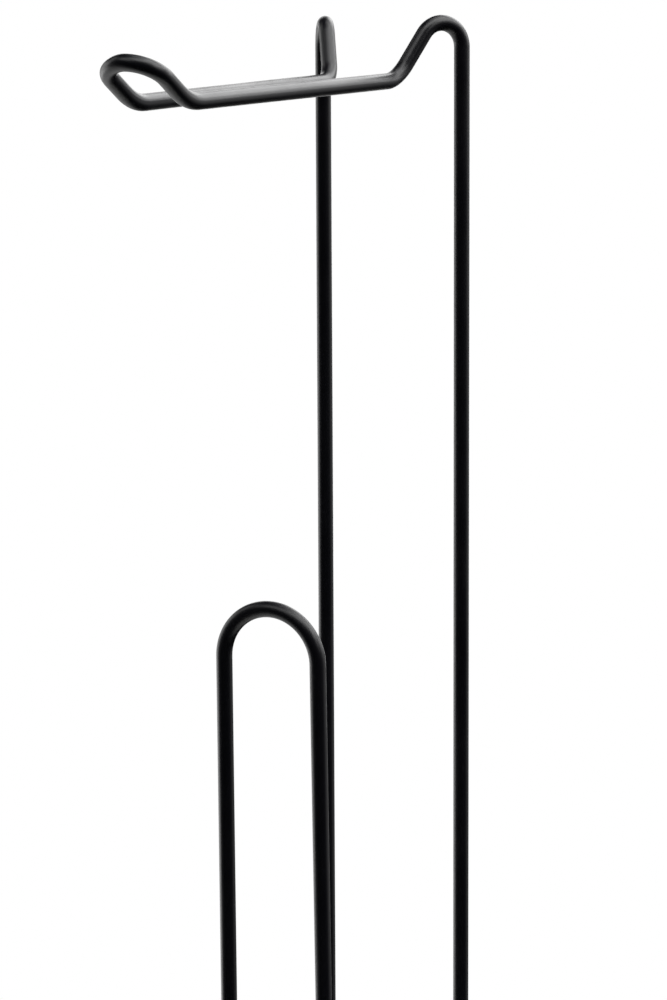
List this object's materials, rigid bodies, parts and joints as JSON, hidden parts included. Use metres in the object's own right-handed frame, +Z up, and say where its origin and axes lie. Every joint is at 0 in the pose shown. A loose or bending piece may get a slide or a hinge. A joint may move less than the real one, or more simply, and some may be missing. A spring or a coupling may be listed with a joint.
{
  "type": "toilet paper holder",
  "caption": "Free-standing toilet paper holder of bent black wire: posts hooked over into a roll arm with an upturned tip, an upright loop for spare rolls, a ring base on rubber feet.",
  "frame": {"origin": "on the floor, below the spare-roll loop, at the middle of the base ring", "axes": "+Z up; the roll arm points to -Y, the front; the posts stand at +Y, the back; X is across"},
  "size_m": [0.1692, 0.18, 0.61],
  "materials": {
    "coated_wire": "matt black powder coat",
    "rubber": "moulded, matt"
  },
  "bodies": {
    "root": {"upright_frame": "coated_wire", "reserve_loop": "coated_wire", "base_ring": "coated_wire", "ring_welds": "coated_wire", "crossing_welds": "coated_wire", "spreader_welds": "coated_wire", "foot_front_left": "rubber", "foot_front_right": "rubber", "foot_rear_left": "rubber", "foot_rear_right": "rubber"}
  },
  "joints": []
}
